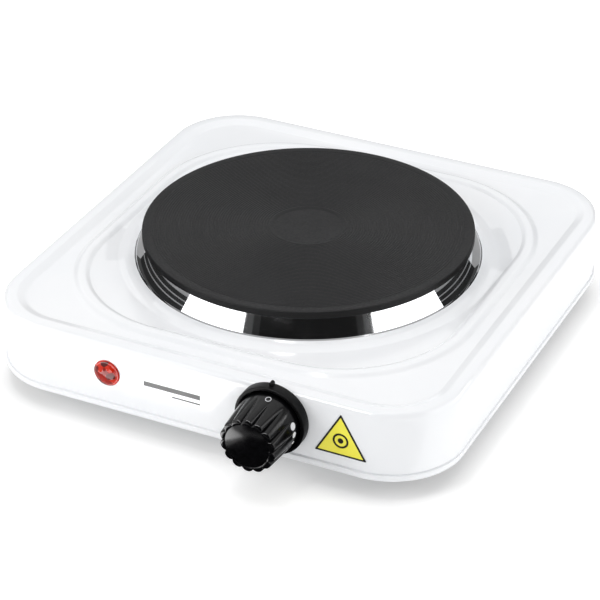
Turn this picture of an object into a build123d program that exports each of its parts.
from build123d import *

import os
from math import pi, radians, sqrt, tan

# A single electric hotplate: enamelled steel case, cast iron cooking plate, thermostat and pilot lamp.
#
# Everything is drawn about the cooking plate's axis, with Z up from the worktop and the front panel
# towards -Y. save() moves each finished piece back by FRAME_Y, which puts the origin in the middle
# of the footprint, on the worktop.

os.makedirs("parts", exist_ok=True)

# ---------------------------------------------------------------- driving dimensions, millimetres

SHEET = 0.8  # steel sheet of the case and of the base
GAP = 0.1  # clearance between pieces that are pushed together
TOUCH = 0.02  # clearance between pieces that are clamped or bonded
RUNNING = 0.05  # clearance of a shaft in its bush

PLATE_R = 77.5  # a 155 mm cooking plate
PLATE_TOP = 56.6
PLATE_RIM = 3.3  # height of iron that shows above the trim ring
PLATE_THICK = 11.6
PLATE_EDGE = 0.4  # chamfer round the top
GROOVE_PITCH = 1.2
GROOVE_DEPTH = 0.2
RECESS_R, RECESS_DEPTH = 16.3, 0.5

CASE_HALF = 112.1  # half the width over the walls
CASE_DEEPER = 1.2  # the case is this much deeper than wide, front and back alike
CASE_CORNER = 34.0
HEM_OUT, HEM_HEIGHT = 0.65, 2.7
BASE_Z = 10.0  # underside of the base sheet
FLANGE_WIDTH = 9.0  # the case's bottom flange, turned inwards over the base sheet
RIM_Z, RIM_ROUND = 43.9, 4.0
STEP_HALF, STEP_RUN, STEP_CORNER = 102.0, 4.0, 24.0  # the slope from the rim down to the deck
DECK_Z = 42.4
BEAD_OUT, BEAD_IN, BEAD_Z, BEAD_CORNER = 97.0, 89.5, 44.0, 64.0  # pressed bead round the plate
DISH_Z = 42.9
SEAT_R, SEAT_FOOT_R, SEAT_Z = 84.0, 89.0, 44.1  # raised seat of the trim ring
DECK_HOLE_R = 76.0

RING_FOOT_R, RING_SHEET = 81.3, 0.5
RING_TUCK, RING_LIP = 0.5, 0.9  # set back under the plate's rim, and the flat lip round the foot

KNOB_X, KNOB_Z = 38.0, 30.0
BEZEL_R, BEZEL_DEPTH, BEZEL_FLOOR, BEZEL_WALL = 16.6, 5.2, 1.2, 1.5
KNOB_SKIRT_R, KNOB_GRIP_R = 14.3, 13.1
KNOB_BACK, KNOB_TIP = 3.2, 27.4  # from the front wall to the knob's back and to its tip
LOBES = 14
FLUTE_R, FLUTE_DEPTH, FLUTE_TILT = 1.9, 1.5, 9.0  # grooves between the lobes, deepest at the tip
SHAFT_R = 3.0

LAMP_X, LAMP_Z, LAMP_R = -44.4, 28.7, 6.35
BARREL_R = 5.0

INLET_X, INLET_Z = -50.0, 27.0
INLET_BORE_R, INLET_NECK_R, INLET_FLANGE = 3.6, 5.5, 2.0

FOOT_AT, FOOT_R = 88.0, 8.5
FASTENER_CLEARANCE = 0.15

FRONT = -(CASE_HALF + CASE_DEEPER)  # outer face of the front wall
BACK = -FRONT
FRAME_Y = (KNOB_TIP - INLET_FLANGE) / 2


def save(piece, name):
    """Labels a finished piece, moves it into the footprint's frame and writes it."""
    placed = piece.moved(Location((0, FRAME_Y, 0)))
    placed.label = name
    export_step(placed, f"parts/{name}.step")


def panel_place(x, z):
    """The front wall's own frame at (x, z): its X to the right, its Y up and its Z out of the wall."""
    return Location(Plane(origin=(x, FRONT, z), x_dir=(1, 0, 0), z_dir=(0, -1, 0)))


def washer(outer_r, inner_r, z_low, z_high):
    """A flat ring, or a tube, about the Z axis."""
    with BuildPart() as ring:
        with BuildSketch(Plane.XY.offset(z_low)):
            Circle(outer_r)
            Circle(inner_r, mode=Mode.SUBTRACT)
        extrude(amount=z_high - z_low)
    return ring.part


def screw(shank_r, shank_length, head_r, head_height):
    """A pan-head screw with a cross recess: shank along +Z, the head's underside at Z = 0."""
    with BuildPart() as body:
        with BuildSketch(Plane.XY):
            Circle(head_r)
        extrude(amount=-head_height)
        fillet(body.faces().sort_by(Axis.Z)[0].edges(), 0.45 * head_height)
        with BuildSketch(Plane.XY.offset(-head_height)):
            Rectangle(1.2 * head_r, 0.25 * head_r)
            Rectangle(0.25 * head_r, 1.2 * head_r)
        extrude(amount=0.5 * head_height, mode=Mode.SUBTRACT)
        with BuildSketch(Plane.XY):
            Circle(shank_r)
        extrude(amount=shank_length)
        chamfer(body.edges().group_by(Axis.Z)[-1], 0.2 * shank_r)
    return body.part


def hexagon_nut(bore_r, across_flats, height):
    """A hexagon nut about the Z axis, standing on Z = 0."""
    with BuildPart() as nut:
        with BuildSketch():
            RegularPolygon(across_flats / 2, 6, major_radius=False)
            Circle(bore_r, mode=Mode.SUBTRACT)
        extrude(amount=height)
    return nut.part


def dome_arc(edge_r, edge_z, top_z):
    """The section of a shallow dome: a circle's arc from its edge to its top, centred on the axis."""
    rise = top_z - edge_z
    sphere_r = (edge_r**2 + rise**2) / (2 * rise)
    middle = (edge_r / 2, top_z - sphere_r + sqrt(sphere_r**2 - (edge_r / 2) ** 2))
    return ThreePointArc((edge_r, edge_z), middle, (0, top_z))


# ---------------------------------------------------------------- case


def square_outline(half, corner, mode=Mode.ADD):
    """A rounded square about the plate's axis, as much deeper than wide as the case is."""
    return RectangleRounded(2 * half, 2 * (half + CASE_DEEPER), corner, mode=mode)


def case_block(drop):
    """The case as a solid block whose walls and top lie `drop` inside the outer skin."""
    bead_flat = 2.2  # run of the bead's slope on either side
    dish_corner = BEAD_CORNER - BEAD_OUT + BEAD_IN
    with BuildPart() as block:
        with BuildSketch(Plane.XY.offset(BASE_Z + SHEET + drop)):
            square_outline(CASE_HALF - drop, CASE_CORNER - drop)
        extrude(amount=RIM_Z - BASE_Z - SHEET - 2 * drop)
        fillet(block.faces().sort_by(Axis.Z)[-1].edges(), RIM_ROUND - drop)
        with BuildSketch(Plane.XY.offset(RIM_Z - drop)):
            square_outline(STEP_HALF + STEP_RUN, STEP_CORNER + STEP_RUN)
        with BuildSketch(Plane.XY.offset(DECK_Z - drop)):
            square_outline(STEP_HALF, STEP_CORNER)
        loft(mode=Mode.SUBTRACT)
        with BuildSketch(Plane.XY.offset(DECK_Z - drop)):
            square_outline(BEAD_OUT, BEAD_CORNER)
        with BuildSketch(Plane.XY.offset(BEAD_Z - drop)):
            square_outline(BEAD_OUT - bead_flat, BEAD_CORNER - bead_flat)
        loft()
        with BuildSketch(Plane.XY.offset(BEAD_Z - drop)):
            square_outline(BEAD_IN + bead_flat, dish_corner + bead_flat)
        with BuildSketch(Plane.XY.offset(DISH_Z - drop)):
            square_outline(BEAD_IN, dish_corner)
        loft(mode=Mode.SUBTRACT)
        with BuildSketch(Plane.XY.offset(DISH_Z - drop)):
            Circle(SEAT_FOOT_R)
        with BuildSketch(Plane.XY.offset(SEAT_Z - drop)):
            Circle(SEAT_R)
        loft()
    return block.part


FLANGE_SCREW_X = 70.0
FLANGE_SCREW_Y = BACK - SHEET - FLANGE_WIDTH / 2
BASE_SCREW_R = 1.6
BUSH_R = 4.6
SIDE_SCREW_AT, SIDE_SCREW_R = 12.0, 1.5  # the two screws that hold the thermostat to the panel
PUNCH_REACH = 3 * SHEET  # how far a punch goes past the sheet


def panel_cutter():
    """What is punched out of the front wall, as solids in the wall's own frame about the knob."""
    with BuildPart() as holes:
        with BuildSketch(Plane.XY.offset(-PUNCH_REACH)):
            Circle(BUSH_R + 2 * GAP)
            with Locations((-SIDE_SCREW_AT, 0), (SIDE_SCREW_AT, 0)):
                Circle(SIDE_SCREW_R + FASTENER_CLEARANCE)
            with Locations((LAMP_X - KNOB_X, LAMP_Z - KNOB_Z)):
                Circle(BARREL_R + GAP)
        extrude(amount=PUNCH_REACH + SHEET)
    return holes.part.moved(panel_place(KNOB_X, KNOB_Z))


outer_block = case_block(0)
inner_block = case_block(SHEET)
punched = panel_cutter()

with BuildPart() as top_housing:
    add(outer_block)
    add(inner_block, mode=Mode.SUBTRACT)
    with BuildSketch(Plane.XY.offset(BASE_Z)):
        square_outline(CASE_HALF + HEM_OUT, CASE_CORNER + HEM_OUT)
        square_outline(CASE_HALF + HEM_OUT - SHEET, CASE_CORNER, Mode.SUBTRACT)
    extrude(amount=HEM_HEIGHT)
    with BuildSketch(Plane.XY.offset(BASE_Z)):
        square_outline(CASE_HALF - FLANGE_WIDTH, CASE_CORNER - FLANGE_WIDTH)
    extrude(amount=PUNCH_REACH, mode=Mode.SUBTRACT)
    with BuildSketch(Plane.XY.offset(BASE_Z)):
        with GridLocations(2 * FLANGE_SCREW_X, 2 * FLANGE_SCREW_Y, 2, 2):
            Circle(BASE_SCREW_R + TOUCH)
    extrude(amount=PUNCH_REACH, mode=Mode.SUBTRACT)
    with BuildSketch(Plane.XY.offset(DISH_Z - 2 * SHEET)):
        Circle(DECK_HOLE_R)
    extrude(amount=SEAT_Z - DISH_Z + PUNCH_REACH, mode=Mode.SUBTRACT)
    add(punched, mode=Mode.SUBTRACT)
    with BuildSketch(Plane.XZ.offset(-BACK + PUNCH_REACH)):
        with Locations((INLET_X, INLET_Z)):
            Circle(INLET_NECK_R + GAP)
    extrude(amount=-PUNCH_REACH - SHEET, mode=Mode.SUBTRACT)
save(top_housing.part, "top_housing")

# ---------------------------------------------------------------- base sheet, feet and screws

FOOT_NECK_R, FOOT_HEAD_R, FOOT_HEAD = 3.4, 5.0, 2.4
BASE_SCREW_HEAD_R, BASE_SCREW_HEAD = 3.2, 1.7
BLOCK_X, BLOCK_Y, BLOCK_PITCH = -8.0, 91.0, 10.0  # mains terminal block, on the base sheet
BLOCK_SCREWS = [(BLOCK_X + side * BLOCK_PITCH / 2, BLOCK_Y) for side in (-1, 1)]
VENT_LENGTH, VENT_WIDTH, VENT_PITCH, VENT_ROWS, VENT_APART = 36.0, 4.0, 12.0, 5, 120.0
BASE_CLEARANCE = 0.35  # between the base sheet and the hem round it

with BuildPart() as base_plate:
    with BuildSketch(Plane.XY.offset(BASE_Z)):
        square_outline(CASE_HALF + HEM_OUT - SHEET - BASE_CLEARANCE, CASE_CORNER - BASE_CLEARANCE)
        with GridLocations(2 * FLANGE_SCREW_X, 2 * FLANGE_SCREW_Y, 2, 2):
            Circle(BASE_SCREW_R + FASTENER_CLEARANCE, mode=Mode.SUBTRACT)
        with GridLocations(2 * FOOT_AT, 2 * FOOT_AT, 2, 2):
            Circle(FOOT_NECK_R + GAP, mode=Mode.SUBTRACT)
        with Locations(*BLOCK_SCREWS):
            Circle(BASE_SCREW_R + FASTENER_CLEARANCE, mode=Mode.SUBTRACT)
        with GridLocations(VENT_APART, VENT_PITCH, 2, VENT_ROWS):
            SlotOverall(VENT_LENGTH, VENT_WIDTH, mode=Mode.SUBTRACT)
    extrude(amount=SHEET)
save(base_plate.part, "base_plate")

with BuildPart() as foot:
    with BuildSketch():
        Circle(FOOT_R)
    extrude(amount=BASE_Z)
    fillet(foot.edges().group_by(Axis.Z)[0], 1.5)
    with BuildSketch(Plane.XY.offset(BASE_Z)):
        Circle(FOOT_NECK_R)
    extrude(amount=SHEET)
    with BuildSketch(Plane.XY.offset(BASE_Z + SHEET)):
        Circle(FOOT_HEAD_R)
    extrude(amount=FOOT_HEAD)
    chamfer(foot.edges().group_by(Axis.Z)[-1], 1.0)
for end, side_y in (("front", -1), ("rear", 1)):
    for side, side_x in (("left", -1), ("right", 1)):
        save(foot.part.moved(Location((side_x * FOOT_AT, side_y * FOOT_AT, 0))), f"foot_{end}_{side}")

base_screw = screw(BASE_SCREW_R, 5.0, BASE_SCREW_HEAD_R, BASE_SCREW_HEAD)
with BuildPart() as base_screws:
    with Locations(Plane.XY.offset(BASE_Z)):
        with GridLocations(2 * FLANGE_SCREW_X, 2 * FLANGE_SCREW_Y, 2, 2):
            add(base_screw)
save(base_screws.part, "base_screws")

# ---------------------------------------------------------------- cast iron cooking plate

PLATE_BOTTOM = PLATE_TOP - PLATE_THICK
SHOULDER_R = PLATE_R - 2.0
RIM_BOTTOM = PLATE_TOP - PLATE_RIM
CHANNEL_RADII = (62.0, 47.0, 32.0)
CHANNEL_WIDTH, CHANNEL_DEPTH = 9.0, 6.5
STUD_R, STUD_TOP, STUD_BOTTOM = 3.0, PLATE_TOP - 5.0, 16.5
GROOVE_FIRST_R = RECESS_R + 2.5
GROOVES = int((PLATE_R - 3.0 - GROOVE_FIRST_R) / GROOVE_PITCH)


def grooved_top():
    """Points of the machined top face, from the chamfered edge in to the recess at the centre."""
    half_width = 0.3 * GROOVE_PITCH
    points = [(PLATE_R, PLATE_TOP - PLATE_EDGE), (PLATE_R - PLATE_EDGE, PLATE_TOP)]
    for groove in reversed(range(GROOVES)):
        radius = GROOVE_FIRST_R + groove * GROOVE_PITCH
        points.append((radius + half_width, PLATE_TOP))
        points.append((radius, PLATE_TOP - GROOVE_DEPTH))
        points.append((radius - half_width, PLATE_TOP))
    points.append((RECESS_R + RECESS_DEPTH, PLATE_TOP))
    points.append((RECESS_R, PLATE_TOP - RECESS_DEPTH))
    return points


with BuildPart() as hob_plate:
    with BuildSketch(Plane.XZ):
        with BuildLine():
            underside = [(0, PLATE_BOTTOM), (SHOULDER_R, PLATE_BOTTOM), (SHOULDER_R, RIM_BOTTOM)]
            centre = [(0, PLATE_TOP - RECESS_DEPTH)]
            Polyline(*underside, (PLATE_R, RIM_BOTTOM), *grooved_top(), *centre, close=True)
        make_face()
    revolve(axis=Axis.Z)
    with BuildSketch(Plane.XY.offset(PLATE_BOTTOM)):
        for radius in CHANNEL_RADII:
            Circle(radius + CHANNEL_WIDTH / 2)
            Circle(radius - CHANNEL_WIDTH / 2, mode=Mode.SUBTRACT)
    extrude(amount=CHANNEL_DEPTH, mode=Mode.SUBTRACT)
    with BuildSketch(Plane.XY.offset(PLATE_BOTTOM)):
        Circle(STUD_R + TOUCH)
    extrude(amount=STUD_TOP - PLATE_BOTTOM + GAP, mode=Mode.SUBTRACT)
save(hob_plate.part, "hob_plate")

# ---------------------------------------------------------------- trim ring round the plate

with BuildPart() as trim_ring:
    with BuildSketch(Plane.XZ):
        with BuildLine():
            ring_in = SHOULDER_R + 2 * GAP
            top = RIM_BOTTOM - TOUCH
            foot_top = SEAT_Z + RING_SHEET
            bend_r = PLATE_R - RING_TUCK
            flare_r = RING_FOOT_R - RING_LIP
            outside = [(ring_in, top), (bend_r, top), (flare_r, foot_top), (RING_FOOT_R, foot_top)]
            inside = [
                (RING_FOOT_R, SEAT_Z),
                (flare_r - RING_SHEET, SEAT_Z),
                (bend_r - RING_SHEET, top - RING_SHEET),
                (ring_in, top - RING_SHEET),
            ]
            Polyline(*outside, *inside, close=True)
        make_face()
    revolve(axis=Axis.Z)
save(trim_ring.part, "trim_ring")

# ---------------------------------------------------------------- heating coils in their cement

COIL_R = 1.7
COIL_Z = PLATE_BOTTOM + CHANNEL_DEPTH / 2
PIN_PITCH, PIN_R, PIN_BOTTOM = 22.0, 1.4, 19.0
PIN_Y = sqrt(CHANNEL_RADII[-1] ** 2 - (PIN_PITCH / 2) ** 2)  # the pins meet the innermost coil
PIN_TOP = COIL_Z - COIL_R - GAP
PIN_PLACES = [(-PIN_PITCH / 2, PIN_Y), (PIN_PITCH / 2, PIN_Y)]
BEAD_SLEEVE_R, BEAD_BOTTOM = 4.0, 27.0

with BuildPart() as heating_coils:
    with BuildSketch(Plane.XZ):
        with Locations(*[(radius, COIL_Z) for radius in CHANNEL_RADII]):
            Circle(COIL_R)
    revolve(axis=Axis.Z)
save(heating_coils.part, "heating_coils")

with BuildPart() as coil_cement:
    with BuildSketch(Plane.XY.offset(PLATE_BOTTOM)):
        for radius in CHANNEL_RADII:
            Circle(radius + CHANNEL_WIDTH / 2 - TOUCH)
            Circle(radius - CHANNEL_WIDTH / 2 + TOUCH, mode=Mode.SUBTRACT)
    extrude(amount=CHANNEL_DEPTH - TOUCH)
    with BuildSketch(Plane.XZ):
        with Locations(*[(radius, COIL_Z) for radius in CHANNEL_RADII]):
            Circle(COIL_R + TOUCH)
    revolve(axis=Axis.Z, mode=Mode.SUBTRACT)
    with BuildSketch(Plane.XY.offset(PLATE_BOTTOM)):
        with Locations(*PIN_PLACES):
            Circle(PIN_R + GAP)
    extrude(amount=CHANNEL_DEPTH / 2, mode=Mode.SUBTRACT)
save(coil_cement.part, "coil_cement")

with BuildPart() as plate_pins:
    with BuildSketch(Plane.XY.offset(PIN_BOTTOM)):
        with Locations(*PIN_PLACES):
            Circle(PIN_R)
    extrude(amount=PIN_TOP - PIN_BOTTOM)
save(plate_pins.part, "plate_pins")

with BuildPart() as bead_sleeves:
    with BuildSketch(Plane.XY.offset(BEAD_BOTTOM)):
        with Locations(*PIN_PLACES):
            Circle(BEAD_SLEEVE_R)
            Circle(PIN_R + GAP, mode=Mode.SUBTRACT)
    extrude(amount=PLATE_BOTTOM - TOUCH - BEAD_BOTTOM)
save(bead_sleeves.part, "plate_pin_beads")

# ---------------------------------------------------------------- what closes and holds the plate

COVER_SHEET, COVER_R = 0.6, 73.5
BAR_Z, BAR_THICK, BAR_WIDE, BAR_HALF = 35.5, 1.6, 20.0, 82.0
WASHER_R, WASHER_THICK = 9.0, 1.2
SHIELD_SHEET, NUT_HEIGHT, NUT_FLATS, TAG_SHEET = 0.5, 5.0, 10.0, 0.8
CLAMP_NUT_Z = BAR_Z - WASHER_THICK - NUT_HEIGHT
SHIELD_Z = CLAMP_NUT_Z - SHIELD_SHEET
SHIELD_NUT_Z = SHIELD_Z - NUT_HEIGHT
EARTH_TAG_Z = SHIELD_NUT_Z - TAG_SHEET
EARTH_NUT_Z = EARTH_TAG_Z - NUT_HEIGHT
SHIELD_R, SHIELD_RIM = 70.0, 3.0

with BuildPart() as plate_cover:
    with BuildSketch(Plane.XY.offset(PLATE_BOTTOM - TOUCH - COVER_SHEET)):
        Circle(COVER_R)
        Circle(STUD_R + FASTENER_CLEARANCE, mode=Mode.SUBTRACT)
        with Locations(*PIN_PLACES):
            Circle(BEAD_SLEEVE_R + FASTENER_CLEARANCE, mode=Mode.SUBTRACT)
    extrude(amount=COVER_SHEET)
save(plate_cover.part, "plate_cover")

with BuildPart() as centre_stud:
    with BuildSketch(Plane.XY.offset(STUD_BOTTOM)):
        Circle(STUD_R)
    extrude(amount=STUD_TOP - STUD_BOTTOM)
    chamfer(centre_stud.edges().group_by(Axis.Z)[0], 0.6)
save(centre_stud.part, "centre_stud")

# The bar bridges the hole in the case: its raised ends bear on the underside of the trim ring's seat.
with BuildPart() as clamp_bar:
    pad, ramp = 7.0, 6.0  # the flat end, and the slope up to it
    lift = SEAT_Z - SHEET - TOUCH - BAR_THICK - BAR_Z
    right_half = [(BAR_HALF - pad - ramp, 0), (BAR_HALF - pad, lift), (BAR_HALF, lift)]
    with BuildSketch(Plane.XZ.offset(-BAR_WIDE / 2)):
        with BuildLine():
            below = [(-x, BAR_Z + z) for x, z in reversed(right_half)]
            below += [(x, BAR_Z + z) for x, z in right_half]
            above = [(x, z + BAR_THICK) for x, z in reversed(below)]
            Polyline(*below, *above, close=True)
        make_face()
    extrude(amount=BAR_WIDE)
    with BuildSketch(Plane.XY.offset(BAR_Z)):
        Circle(STUD_R + FASTENER_CLEARANCE)
    extrude(amount=BAR_THICK, mode=Mode.SUBTRACT)
save(clamp_bar.part, "clamp_bar")

save(washer(WASHER_R, STUD_R + FASTENER_CLEARANCE, BAR_Z - WASHER_THICK, BAR_Z), "stud_washer")

stud_nut = hexagon_nut(STUD_R + TOUCH, NUT_FLATS, NUT_HEIGHT)
with BuildPart() as stud_nuts:
    with Locations((0, 0, CLAMP_NUT_Z), (0, 0, SHIELD_NUT_Z), (0, 0, EARTH_NUT_Z)):
        add(stud_nut)
save(stud_nuts.part, "stud_nuts")

with BuildPart() as heat_shield:
    with BuildSketch(Plane.XY.offset(SHIELD_Z)):
        Circle(SHIELD_R)
    extrude(amount=SHIELD_SHEET + SHIELD_RIM)
    with BuildSketch(Plane.XY.offset(SHIELD_Z + SHIELD_SHEET)):
        Circle(SHIELD_R - SHIELD_SHEET)
    extrude(amount=SHIELD_RIM, mode=Mode.SUBTRACT)
    with BuildSketch(Plane.XY.offset(SHIELD_Z)):
        Circle(STUD_R + FASTENER_CLEARANCE)
        with Locations(*PIN_PLACES):
            Circle(BEAD_SLEEVE_R + FASTENER_CLEARANCE)
    extrude(amount=SHIELD_SHEET, mode=Mode.SUBTRACT)
save(heat_shield.part, "heat_shield")

CLAMP_BLOCK, CLAMP_BLOCK_HEIGHT = 6.0, 4.4
CLAMP_BLOCK_Z = PIN_BOTTOM + 4 * GAP
with BuildPart() as pin_clamps:
    with BuildSketch(Plane.XY.offset(CLAMP_BLOCK_Z)):
        with Locations(*PIN_PLACES):
            Rectangle(CLAMP_BLOCK, CLAMP_BLOCK)
            Circle(PIN_R + TOUCH, mode=Mode.SUBTRACT)
    extrude(amount=CLAMP_BLOCK_HEIGHT)
save(pin_clamps.part, "pin_clamps")

TAG_EYE_R, TAG_NECK, TAG_BARREL, TAG_BARREL_LENGTH = 5.4, 4.0, 3.6, 5.0
TAG_BARREL_Y = 9.5
with BuildPart() as earth_tag:
    with BuildSketch(Plane.XY.offset(EARTH_TAG_Z)):
        Circle(TAG_EYE_R)
        with Locations((0, TAG_BARREL_Y / 2)):
            Rectangle(TAG_NECK, TAG_BARREL_Y)
        Circle(STUD_R + FASTENER_CLEARANCE, mode=Mode.SUBTRACT)
    extrude(amount=TAG_SHEET)
    with BuildSketch(Plane.XY.offset(EARTH_TAG_Z + TAG_SHEET - TAG_BARREL)):
        with Locations((0, TAG_BARREL_Y)):
            Rectangle(TAG_BARREL, TAG_BARREL_LENGTH)
    extrude(amount=TAG_BARREL)
save(earth_tag.part, "earth_tag")

# ---------------------------------------------------------------- knob and its bezel
# Drawn in the front wall's own frame about the knob's axis: Z = 0 is the wall's outer face.

KNOB_PLACE = panel_place(KNOB_X, KNOB_Z)
KNOB_SHELL, BOSS_R, BOSS_TOP = 1.8, 5.6, 17.0
SKIRT_BAND = 3.0  # plain band round the knob's back
SHOULDER_AT, SHOULDER_RISE, CROWN_R = 24.4, 1.7, 11.6  # the rounded edge between the grip and the crown
NUB_WIDE, NUB_LENGTH, NUB_LOW, NUB_HIGH = 1.4, 1.9, 0.6, 3.0
SHAFT_TOP = 16.0
FLAT_AT = 2.2  # distance of the shaft's flat from its axis

with BuildPart() as knob_bezel:
    with BuildSketch():
        Circle(BEZEL_R)
    extrude(amount=BEZEL_DEPTH)
    fillet(knob_bezel.edges().group_by(Axis.Z)[-1], 0.6)
    with BuildSketch(Plane.XY.offset(NUB_LOW)):
        with Locations((0, BEZEL_R)):
            SlotOverall(2 * NUB_LENGTH, NUB_WIDE, rotation=90)
    extrude(amount=NUB_HIGH - NUB_LOW)
    with BuildSketch(Plane.XY.offset(BEZEL_FLOOR)):
        Circle(BEZEL_R - BEZEL_WALL)
    extrude(amount=BEZEL_DEPTH, mode=Mode.SUBTRACT)
    with BuildSketch():
        Circle(BUSH_R + 2 * GAP)
        with Locations((-SIDE_SCREW_AT, 0), (SIDE_SCREW_AT, 0)):
            Circle(SIDE_SCREW_R + FASTENER_CLEARANCE)
    extrude(amount=BEZEL_FLOOR, mode=Mode.SUBTRACT)
save(knob_bezel.part.moved(KNOB_PLACE), "knob_bezel")

flute = (
    Location((KNOB_GRIP_R + FLUTE_R - FLUTE_DEPTH, 0, KNOB_TIP))
    * Rotation(0, -FLUTE_TILT, 0)
    * Cylinder(FLUTE_R, 2 * KNOB_TIP)
)

with BuildPart() as knob:
    with BuildSketch(Plane.XZ):
        with BuildLine():
            skirt_front = (KNOB_SKIRT_R, KNOB_BACK + SKIRT_BAND)
            grip_end = (KNOB_GRIP_R, SHOULDER_AT)
            crown_edge = (CROWN_R, SHOULDER_AT + SHOULDER_RISE)
            grip_middle = (KNOB_SKIRT_R - 0.3 * (KNOB_SKIRT_R - KNOB_GRIP_R), (SHOULDER_AT + KNOB_BACK) / 2 + 1)
            shoulder_middle = (KNOB_GRIP_R - 0.3 * SHOULDER_RISE, SHOULDER_AT + 0.7 * SHOULDER_RISE)
            Polyline((0, KNOB_BACK), (KNOB_SKIRT_R, KNOB_BACK), skirt_front)
            ThreePointArc(skirt_front, grip_middle, grip_end)
            ThreePointArc(grip_end, shoulder_middle, crown_edge)
            dome_arc(*crown_edge, KNOB_TIP)
            Line((0, KNOB_TIP), (0, KNOB_BACK))
        make_face()
    revolve(axis=Axis.Z)
    with PolarLocations(0, LOBES):
        add(flute, mode=Mode.SUBTRACT)
    with BuildSketch(Plane.XY.offset(KNOB_BACK)):
        Circle(KNOB_GRIP_R - FLUTE_DEPTH - KNOB_SHELL)
        Circle(BOSS_R, mode=Mode.SUBTRACT)
    extrude(amount=BOSS_TOP, mode=Mode.SUBTRACT)
    with BuildSketch(Plane.XY.offset(KNOB_BACK)):
        Circle(SHAFT_R + RUNNING)
        with Locations((0, -FLAT_AT - RUNNING - SHAFT_R)):
            Rectangle(3 * SHAFT_R, 2 * SHAFT_R, mode=Mode.SUBTRACT)
    extrude(amount=SHAFT_TOP + 2 * GAP - KNOB_BACK, mode=Mode.SUBTRACT)
save(knob.part.moved(KNOB_PLACE), "knob")

CLIP_SHEET, CLIP_LOW, CLIP_LENGTH, CLIP_SLIT = 0.7, 6.0, 6.0, 3.0
with BuildPart() as knob_spring_clip:
    with BuildSketch(Plane.XY.offset(CLIP_LOW)):
        Circle(BOSS_R + CLIP_SHEET)
        Circle(BOSS_R + TOUCH, mode=Mode.SUBTRACT)
        with Locations((0, BOSS_R)):
            Rectangle(CLIP_SLIT, 4 * CLIP_SHEET, mode=Mode.SUBTRACT)
    extrude(amount=CLIP_LENGTH)
save(knob_spring_clip.part.moved(KNOB_PLACE), "knob_spring_clip")

# ---------------------------------------------------------------- thermostat, behind the front wall

BRACKET_SHEET = 1.2
BRACKET_BACK = -SHEET - BRACKET_SHEET
STACK_X, STACK_R = -23.4, 6.0
RIVET_R = 1.5
BLADE_WIDE, TAB_WIDE = 8.0, 6.3
BLADE_SHEET, LEAF_SHEET, BIMETAL_SHEET = 0.8, 0.4, 1.0
LEAF_Z = -9.0  # front face of the moving leaf
FIXED_Z = -13.4  # front face of the fixed blade
BIMETAL_Z = -18.2  # front face of the bimetal strip
CONTACT_X, CONTACT_R = 8.6, 2.0
MOVING_CONTACT, FIXED_CONTACT = 1.0, 1.6  # thickness of each button
BIMETAL_PIN_R = 1.5
RIVET_HEAD_R, RIVET_HEAD = 3.2, 1.4
HINGE_X = -16.8  # where the moving leaf starts to bend
LEAF_END = 12.0
STOP_LUG_IN, STOP_LUG_OUT = 5.8, 8.2
STOP_HALF_LUG, STOP_HALF_TAB, STOP_SPARE = 22.0, 20.0, 3.0
COLLAR_R, COLLAR_Z, COLLAR_THICK = 4.5, -3.1, 1.1
BUSH_FLANGE_R, BUSH_FLANGE = 5.4, 1.0
BUSH_FRONT = 1.0  # how far the bush stands out of the front wall
STOP_LUG_HEIGHT, STOP_TAB_SHORT = 1.7, 0.6
BRACKET_X, BRACKET_LONG, BRACKET_HIGH = -7.0, 46.0, 18.0
PUSH_PIN_R = 1.4


def sector(inner_r, outer_r, middle, half_angle):
    """A flat sector of a ring, centred on an angle counted anticlockwise from +X."""
    with BuildSketch() as piece:
        with BuildLine():
            start, end = middle - half_angle, middle + half_angle
            rim = CenterArc((0, 0), outer_r, start, 2 * half_angle)
            Line(rim @ 1, PolarLine((0, 0), inner_r, end, mode=Mode.PRIVATE) @ 1)
            hollow = CenterArc((0, 0), inner_r, start, 2 * half_angle)
            Line(hollow @ 0, rim @ 0)
        make_face()
    return piece.sketch


stop_lug = sector(STOP_LUG_IN, STOP_LUG_OUT, 270, STOP_HALF_LUG)
rest_angle = 270 - STOP_HALF_LUG - STOP_HALF_TAB - STOP_SPARE
stop_tab = sector(SHAFT_R - 1, STOP_LUG_OUT - STOP_TAB_SHORT, rest_angle, STOP_HALF_TAB)

with BuildPart() as thermostat_bracket:
    with BuildSketch(Plane.XY.offset(BRACKET_BACK)):
        with Locations((BRACKET_X, 0)):
            RectangleRounded(BRACKET_LONG, BRACKET_HIGH, 2)
        Circle(BUSH_R + TOUCH, mode=Mode.SUBTRACT)
        with Locations((-SIDE_SCREW_AT, 0), (SIDE_SCREW_AT, 0)):
            Circle(SIDE_SCREW_R + TOUCH, mode=Mode.SUBTRACT)
        with Locations((STACK_X, 0)):
            Circle(RIVET_R + TOUCH, mode=Mode.SUBTRACT)
    extrude(amount=BRACKET_SHEET)
    with BuildSketch(Plane.XY.offset(BRACKET_BACK)):
        add(stop_lug)
    extrude(amount=-STOP_LUG_HEIGHT)
save(thermostat_bracket.part.moved(KNOB_PLACE), "thermostat_bracket")

with BuildPart() as thermostat_bush:
    with BuildSketch(Plane.XY.offset(BRACKET_BACK - BUSH_FLANGE)):
        Circle(BUSH_FLANGE_R)
    extrude(amount=BUSH_FLANGE)
    with BuildSketch(Plane.XY.offset(BRACKET_BACK)):
        Circle(BUSH_R)
    extrude(amount=BUSH_FRONT - BRACKET_BACK)
    with BuildSketch(Plane.XY.offset(BRACKET_BACK - BUSH_FLANGE)):
        Circle(SHAFT_R + RUNNING)
    extrude(amount=BUSH_FLANGE - BRACKET_BACK + BUSH_FRONT, mode=Mode.SUBTRACT)
save(thermostat_bush.part.moved(KNOB_PLACE), "thermostat_bush")

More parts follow.
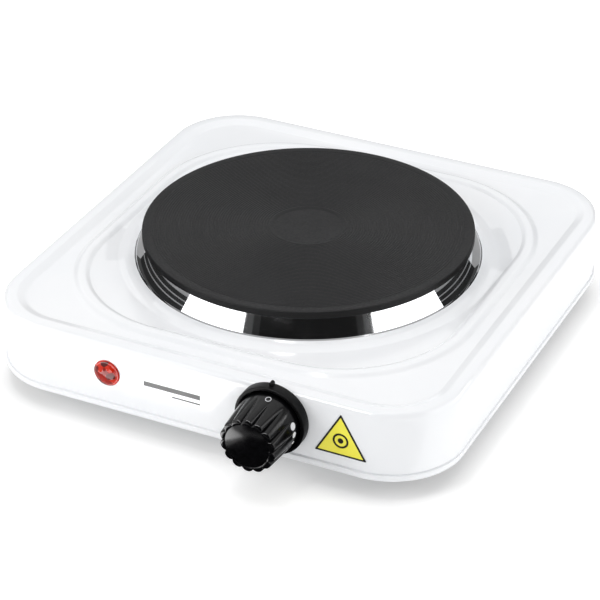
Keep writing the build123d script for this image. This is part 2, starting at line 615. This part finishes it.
SHAFT_BACK = -5.2
PIN_POCKET = 3.2
with BuildPart() as thermostat_spindle:
    with BuildSketch(Plane.XY.offset(SHAFT_BACK)):
        Circle(SHAFT_R)
    extrude(amount=SHAFT_TOP - SHAFT_BACK)
    with BuildSketch(Plane.XY.offset(COLLAR_Z)):
        Circle(COLLAR_R)
        add(stop_tab)
    extrude(amount=-COLLAR_THICK)
    with BuildSketch(Plane.XY.offset(KNOB_BACK)):
        with Locations((0, -FLAT_AT - SHAFT_R)):
            Rectangle(3 * SHAFT_R, 2 * SHAFT_R)
    extrude(amount=SHAFT_TOP, mode=Mode.SUBTRACT)
    with BuildSketch(Plane.XY.offset(SHAFT_BACK)):
        Circle(PUSH_PIN_R + FASTENER_CLEARANCE)
    extrude(amount=PIN_POCKET, mode=Mode.SUBTRACT)
save(thermostat_spindle.part.moved(KNOB_PLACE), "thermostat_spindle")

with BuildPart() as push_pin:
    with BuildSketch(Plane.XY.offset(LEAF_Z + RUNNING)):
        Circle(PUSH_PIN_R)
    extrude(amount=SHAFT_BACK + PIN_POCKET - GAP - LEAF_Z - RUNNING)
    chamfer(push_pin.edges().group_by(Axis.Z)[0], 0.3)
save(push_pin.part.moved(KNOB_PLACE), "push_pin")

side_screw = screw(SIDE_SCREW_R, 4.6, 2.7, 1.5)
with BuildPart() as thermostat_screws:
    with Locations((-SIDE_SCREW_AT, 0, BEZEL_FLOOR), (SIDE_SCREW_AT, 0, BEZEL_FLOOR)):
        add(Rotation(180, 0, 0) * side_screw)
save(thermostat_screws.part.moved(KNOB_PLACE), "thermostat_screws")


def blade(front_z, thick, left, right, tab_left=None):
    """A flat spring or blade in the stack, riveted through, with a push-on tab where one is asked for."""
    with BuildPart() as strip:
        with BuildSketch(Plane.XY.offset(front_z)):
            with Locations(((left + right) / 2, 0)):
                Rectangle(right - left, BLADE_WIDE)
            if tab_left is not None:
                with Locations(((tab_left + left) / 2, 0)):
                    Rectangle(left - tab_left, TAB_WIDE)
            with Locations((STACK_X, 0)):
                Circle(RIVET_R + TOUCH, mode=Mode.SUBTRACT)
        extrude(amount=-thick)
    return strip.part


stack_left = STACK_X - STACK_R
LEAF_TAB_END, FIXED_TAB_END = stack_left - 9.0, stack_left - 14.0
leaf_tag = blade(LEAF_Z, BLADE_SHEET, stack_left, HINGE_X - GAP, LEAF_TAB_END)
save(leaf_tag.moved(KNOB_PLACE), "contact_leaf_tag")
fixed_blade = blade(FIXED_Z, BLADE_SHEET, stack_left, LEAF_END, FIXED_TAB_END)
save(fixed_blade.moved(KNOB_PLACE), "fixed_blade")
bimetal_strip = blade(BIMETAL_Z, BIMETAL_SHEET, stack_left, LEAF_END)
save(bimetal_strip.moved(KNOB_PLACE), "bimetal_strip")

with BuildPart() as contact_leaf:
    with BuildSketch(Plane.XY.offset(LEAF_Z)):
        with Locations(((HINGE_X + GAP + LEAF_END) / 2, 0)):
            Rectangle(LEAF_END - HINGE_X - GAP, BLADE_WIDE - 1)
    extrude(amount=-LEAF_SHEET)
save(contact_leaf.part.moved(KNOB_PLACE), "contact_leaf")

for contact_name, contact_z, contact_thick in (
    ("moving_contact", LEAF_Z - LEAF_SHEET, MOVING_CONTACT),
    ("fixed_contact", FIXED_Z + FIXED_CONTACT, FIXED_CONTACT),
):
    with BuildPart() as contact:
        with BuildSketch(Plane.XY.offset(contact_z)):
            with Locations((CONTACT_X, 0)):
                Circle(CONTACT_R)
        extrude(amount=-contact_thick)
    save(contact.part.moved(KNOB_PLACE), contact_name)

with BuildPart() as bimetal_pin:
    with BuildSketch(Plane.XY.offset(BIMETAL_Z)):
        with Locations((CONTACT_X, 0)):
            Circle(BIMETAL_PIN_R)
    extrude(amount=FIXED_Z - BLADE_SHEET - BIMETAL_Z)
save(bimetal_pin.part.moved(KNOB_PLACE), "bimetal_pin")

for place, spacer_low, spacer_high in (
    ("front", LEAF_Z, BRACKET_BACK),
    ("middle", FIXED_Z, LEAF_Z - BLADE_SHEET),
    ("rear", BIMETAL_Z, FIXED_Z - BLADE_SHEET),
):
    spacer = washer(STACK_R, RIVET_R + FASTENER_CLEARANCE, spacer_low, spacer_high)
    save(spacer.moved(Location((STACK_X, 0, 0))).moved(KNOB_PLACE), f"stack_insulator_{place}")

with BuildPart() as stack_rivet:
    with BuildSketch(Plane.XY.offset(-SHEET - RUNNING)):
        with Locations((STACK_X, 0)):
            Circle(RIVET_R)
    extrude(amount=BIMETAL_Z - BIMETAL_SHEET + SHEET + RUNNING)
    with BuildSketch(Plane.XY.offset(BIMETAL_Z - BIMETAL_SHEET)):
        with Locations((STACK_X, 0)):
            Circle(RIVET_HEAD_R)
    extrude(amount=-RIVET_HEAD)
    fillet(stack_rivet.edges().group_by(Axis.Z)[0], 0.6 * RIVET_HEAD)
save(stack_rivet.part.moved(KNOB_PLACE), "stack_rivet")

# Push-on connectors over the two tabs, each with a slot for its tab and a blind back for its wire.
CONNECTOR_LENGTH, CONNECTOR_WIDE, CONNECTOR_THICK = 10.0, 8.0, 3.0
CONNECTOR_OVER = 1.5  # the connector's middle lies this far inside the tab's end
for connector_name, tab_end, tab_z in (
    ("live_connector", LEAF_TAB_END, LEAF_Z),
    ("heater_connector", FIXED_TAB_END, FIXED_Z),
):
    with BuildPart() as connector:
        middle_z = tab_z - BLADE_SHEET / 2
        with BuildSketch(Plane.XY.offset(middle_z - CONNECTOR_THICK / 2)):
            with Locations((tab_end + CONNECTOR_OVER, 0)):
                RectangleRounded(CONNECTOR_LENGTH, CONNECTOR_WIDE, 1.2)
        extrude(amount=CONNECTOR_THICK)
        with BuildSketch(Plane.XY.offset(middle_z - BLADE_SHEET / 2 - TOUCH)):
            with Locations((tab_end + CONNECTOR_LENGTH / 2, 0)):
                Rectangle(CONNECTOR_LENGTH + 2 * GAP, TAB_WIDE + 2 * GAP)
        extrude(amount=BLADE_SHEET + 2 * TOUCH, mode=Mode.SUBTRACT)
    save(connector.part.moved(KNOB_PLACE), connector_name)

# ---------------------------------------------------------------- pilot lamp

LAMP_PLACE = panel_place(LAMP_X, LAMP_Z)
BARREL_BORE, BARREL_BACK = 4.2, -16.0
SPIGOT_R, SPIGOT_BORE, SPIGOT_BACK = 4.1, 3.4, -6.0
LENS_FLANGE, LENS_TOP, LENS_HOLLOW = 0.9, 2.2, 1.2
CLIP_R, LAMP_CLIP_THICK = 8.0, 1.5
NEON_R, NEON_BACK = 2.4, -13.0
LEAD_R, LEAD_X = 0.8, 2.0

with BuildPart() as lamp_lens:
    with BuildSketch(Plane.XZ):
        with BuildLine():
            hollow = [(0, LENS_HOLLOW), (SPIGOT_BORE, LENS_HOLLOW), (SPIGOT_BORE, SPIGOT_BACK)]
            spigot = [(SPIGOT_R, SPIGOT_BACK), (SPIGOT_R, 0), (LAMP_R, 0), (LAMP_R, LENS_FLANGE)]
            Polyline(*hollow, *spigot)
            dome_arc(LAMP_R, LENS_FLANGE, LENS_TOP)
            Line((0, LENS_TOP), (0, LENS_HOLLOW))
        make_face()
    revolve(axis=Axis.Z)
save(lamp_lens.part.moved(LAMP_PLACE), "lamp_lens")

with BuildPart() as lamp_barrel:
    with BuildSketch(Plane.XY.offset(BARREL_BACK)):
        Circle(BARREL_R)
    extrude(amount=-BARREL_BACK - TOUCH)
    with BuildSketch(Plane.XY.offset(BARREL_BACK + 1)):
        Circle(BARREL_BORE)
    extrude(amount=-BARREL_BACK, mode=Mode.SUBTRACT)
    with BuildSketch(Plane.XY.offset(BARREL_BACK)):
        with Locations((-LEAD_X, 0), (LEAD_X, 0)):
            Circle(LEAD_R + GAP)
    extrude(amount=1, mode=Mode.SUBTRACT)
save(lamp_barrel.part.moved(LAMP_PLACE), "lamp_barrel")

lamp_clip = washer(CLIP_R, BARREL_R + RUNNING, -SHEET - LAMP_CLIP_THICK, -SHEET)
save(lamp_clip.moved(LAMP_PLACE), "lamp_clip")

with BuildPart() as neon_bulb:
    with BuildSketch(Plane.XY.offset(NEON_BACK)):
        Circle(NEON_R)
    extrude(amount=-NEON_BACK - 1)
    fillet(neon_bulb.edges().group_by(Axis.Z)[-1], NEON_R - 0.2)
save(neon_bulb.part.moved(LAMP_PLACE), "neon_bulb")

RESISTOR_TOP, RESISTOR_LENGTH, RESISTOR_R, RESISTOR_LEAD_R = -17.5, 7.0, 1.4, 0.4
with BuildPart() as lamp_resistor:
    with BuildSketch(Plane.XY.offset(NEON_BACK - TOUCH)):
        with Locations((LEAD_X, 0)):
            Circle(RESISTOR_LEAD_R)
    extrude(amount=RESISTOR_TOP - NEON_BACK)
    with BuildSketch(Plane.XY.offset(RESISTOR_TOP)):
        with Locations((LEAD_X, 0)):
            Circle(RESISTOR_R)
    extrude(amount=-RESISTOR_LENGTH)
save(lamp_resistor.part.moved(LAMP_PLACE), "lamp_resistor")

# ---------------------------------------------------------------- mains inlet bush in the rear wall

INLET_TAIL, INLET_TAIL_R = 9.0, 5.2
INLET_FLANGE_R, INLET_SNAP_R, INLET_SNAP = 8.0, 6.8, 1.6
with BuildPart() as inlet_bush:
    rear_face = Plane(origin=(INLET_X, BACK, INLET_Z), x_dir=(-1, 0, 0), z_dir=(0, 1, 0))
    with BuildSketch(rear_face):
        Circle(INLET_FLANGE_R)
    extrude(amount=INLET_FLANGE)
    fillet(inlet_bush.faces().sort_by(Axis.Y)[-1].edges(), 0.8)
    with BuildSketch(rear_face):
        Circle(INLET_NECK_R)
    extrude(amount=-SHEET)
    with BuildSketch(rear_face.offset(-SHEET)):
        Circle(INLET_SNAP_R)
    extrude(amount=-INLET_SNAP)
    with BuildSketch(rear_face.offset(-SHEET - INLET_SNAP)):
        Circle(INLET_TAIL_R)
    extrude(amount=SHEET + INLET_SNAP - INLET_TAIL)
    with BuildSketch(rear_face.offset(-INLET_TAIL)):
        Circle(INLET_BORE_R)
    extrude(amount=INLET_TAIL + INLET_FLANGE, mode=Mode.SUBTRACT)
save(inlet_bush.part, "inlet_bush")

# ---------------------------------------------------------------- mains terminal block

BLOCK_DEEP, BLOCK_HIGH, BLOCK_SCREW_HOLE = 18.0, 14.0, 11.0
BLOCK_Z = BASE_Z + SHEET
BORE_Z = BLOCK_Z + 6.0
SLEEVE_R, SLEEVE_BORE = 2.5, 1.7
WIRE_R = 1.3
TERMINALS = [(BLOCK_X + step * BLOCK_PITCH, BLOCK_Y) for step in (-1, 0, 1)]
CLAMP_SCREWS = [(x, y + side * BLOCK_PITCH / 2) for x, y in TERMINALS for side in (-1, 1)]
CLAMP_SCREW_R, CLAMP_SCREW_LENGTH = 1.2, 3.2
CLAMP_SCREW_BOTTOM = BORE_Z + WIRE_R + GAP
SCREW_WELL_R = 2.1

with BuildPart() as terminal_block:
    with BuildSketch(Plane.XY.offset(BLOCK_Z)):
        with Locations((BLOCK_X, BLOCK_Y)):
            RectangleRounded(3 * BLOCK_PITCH, BLOCK_DEEP, 1.5)
    extrude(amount=BLOCK_HIGH)
    with BuildSketch(Plane.XZ.offset(-BLOCK_Y - BLOCK_DEEP / 2)):
        with Locations(*[(x, BORE_Z) for x, y in TERMINALS]):
            Circle(SLEEVE_R + TOUCH)
    extrude(amount=BLOCK_DEEP, mode=Mode.SUBTRACT)
    with BuildSketch(Plane.XY.offset(BORE_Z)):
        with Locations(*CLAMP_SCREWS):
            Circle(SCREW_WELL_R)
    extrude(amount=BLOCK_HIGH, mode=Mode.SUBTRACT)
    with BuildSketch(Plane.XY.offset(BLOCK_Z)):
        with Locations(*BLOCK_SCREWS):
            Circle(BASE_SCREW_R + TOUCH)
    extrude(amount=BLOCK_SCREW_HOLE, mode=Mode.SUBTRACT)
save(terminal_block.part, "terminal_block")

with BuildPart() as terminal_sleeves:
    with BuildSketch(Plane.XZ.offset(-BLOCK_Y - BLOCK_DEEP / 2 + 0.5)):
        with Locations(*[(x, BORE_Z) for x, y in TERMINALS]):
            Circle(SLEEVE_R)
            Circle(SLEEVE_BORE, mode=Mode.SUBTRACT)
    extrude(amount=BLOCK_DEEP - 1)
    with BuildSketch(Plane.XY.offset(BORE_Z)):
        with Locations(*CLAMP_SCREWS):
            Circle(CLAMP_SCREW_R + TOUCH)
    extrude(amount=SLEEVE_R, mode=Mode.SUBTRACT)
save(terminal_sleeves.part, "terminal_sleeves")

clamp_screw = Rotation(180, 0, 0) * screw(CLAMP_SCREW_R, CLAMP_SCREW_LENGTH, 1.9, 1.6)
with BuildPart() as terminal_screws:
    clamp_screw_top = CLAMP_SCREW_BOTTOM + CLAMP_SCREW_LENGTH
    with Locations(*[(x, y, clamp_screw_top) for x, y in CLAMP_SCREWS]):
        add(clamp_screw)
save(terminal_screws.part, "terminal_screws")

block_screw = screw(BASE_SCREW_R, 8.0, BASE_SCREW_HEAD_R, BASE_SCREW_HEAD)
with BuildPart() as block_screws:
    with Locations(*[(x, y, BASE_Z) for x, y in BLOCK_SCREWS]):
        add(block_screw)
save(block_screws.part, "block_screws")

# ---------------------------------------------------------------- wiring, below the heat shield


def bend_radii(points):
    """For each corner of a route, the largest radius that its two runs leave room for."""
    runs = [Vector(*end) - Vector(*start) for start, end in zip(points, points[1:])]
    radii = []
    for before, after in zip(runs, runs[1:]):
        half_turn = radians(before.get_angle(after)) / 2
        radii.append(0.45 * min(before.length, after.length) / tan(half_turn))
    return radii


def lay_wire(name, radius, points):
    """A wire laid as straight runs joined by tangent arcs."""
    radii = bend_radii(points)
    with BuildPart() as wire:
        with BuildLine() as route:
            FilletPolyline(*points, radius=radii)
        path = route.wire()
        with BuildSketch(Plane(origin=path @ 0, z_dir=path % 0)):
            Circle(radius)
        sweep()
    section_times_length = pi * radius**2 * path.length
    print(
        f"{name}: least radius {min(radii):.1f}, length {path.length:.1f},",
        f"volume {wire.part.volume:.1f} against {section_times_length:.1f}",
    )
    save(wire.part, name)


def panel_point(x, up, depth):
    """A point given in the front wall's frame about the knob."""
    return (KNOB_X + x, FRONT - depth, KNOB_Z + up)


def lamp_point(x, up, depth):
    """A point given in the front wall's frame about the lamp."""
    return (LAMP_X + x, FRONT - depth, LAMP_Z + up)


clamp_z = CLAMP_BLOCK_Z + CLAMP_BLOCK_HEIGHT / 2
half_clamp = CLAMP_BLOCK / 2
left_pin, right_pin = PIN_PLACES
connector_end = CONNECTOR_LENGTH / 2 - CONNECTOR_OVER
(live_x, _), (earth_x, _), (neutral_x, _) = TERMINALS
sleeve_end_y = BLOCK_Y - 1.0

lay_wire("live_wire", WIRE_R, [
    panel_point(LEAF_TAB_END - connector_end, 0, LEAF_Z - BLADE_SHEET / 2),
    panel_point(LEAF_TAB_END - connector_end - 10, 0, LEAF_Z - BLADE_SHEET / 2),
    (-38, -98, 17),
    (-58, -60, 15),
    (-62, 0, 15),
    (-52, 48, 15),
    (live_x, 66, BORE_Z),
    (live_x, sleeve_end_y, BORE_Z),
])
lay_wire("heater_wire", WIRE_R, [
    panel_point(FIXED_TAB_END - connector_end, 0, FIXED_Z - BLADE_SHEET / 2),
    panel_point(FIXED_TAB_END - connector_end - 8, 0, FIXED_Z - BLADE_SHEET / 2),
    (-32, -76, 22),
    (-40, -36, 19),
    (-40, 10, 19),
    (-30, left_pin[1], clamp_z),
    (left_pin[0] - half_clamp, left_pin[1], clamp_z),
])
lay_wire("neutral_wire", WIRE_R, [
    (neutral_x, sleeve_end_y, BORE_Z),
    (neutral_x, 72, BORE_Z),
    (right_pin[0], 56, clamp_z),
    (right_pin[0], right_pin[1] + half_clamp, clamp_z),
])
lay_wire("earth_wire", WIRE_R, [
    (earth_x, sleeve_end_y, BORE_Z),
    (earth_x, 68, BORE_Z),
    (0, 44, 20),
    (0, 28, EARTH_TAG_Z + TAG_SHEET - TAG_BARREL / 2),
    (0, 12, EARTH_TAG_Z + TAG_SHEET - TAG_BARREL / 2),
])
lay_wire("lamp_lead_left", LEAD_R, [
    lamp_point(-LEAD_X, 0, NEON_BACK - TOUCH),
    lamp_point(-LEAD_X, 0, NEON_BACK - 16),
    (-44, -60, 25),
    (-28, -22, 25),
    (-14, 6, 23),
    (left_pin[0], 18, clamp_z),
    (left_pin[0], left_pin[1] - half_clamp, clamp_z),
])
lay_wire("lamp_lead_right", LEAD_R, [
    lamp_point(LEAD_X, 0, RESISTOR_TOP - RESISTOR_LENGTH),
    lamp_point(LEAD_X, 0, RESISTOR_TOP - RESISTOR_LENGTH - 12),
    (-26, -54, 25),
    (6, -36, 25),
    (22, -8, 24),
    (right_pin[0], 14, clamp_z),
    (right_pin[0], right_pin[1] - half_clamp, clamp_z),
])

# ---------------------------------------------------------------- plain three-cornered label on the panel

LABEL_X, LABEL_Z, LABEL_SIDE, LABEL_THICK = 69.6, 25.6, 24.3, 0.2
with BuildPart() as front_label:
    with BuildSketch():
        RegularPolygon(LABEL_SIDE / sqrt(3), 3, rotation=90)
    extrude(amount=LABEL_THICK)
save(front_label.part.moved(panel_place(LABEL_X, LABEL_Z)), "front_label")
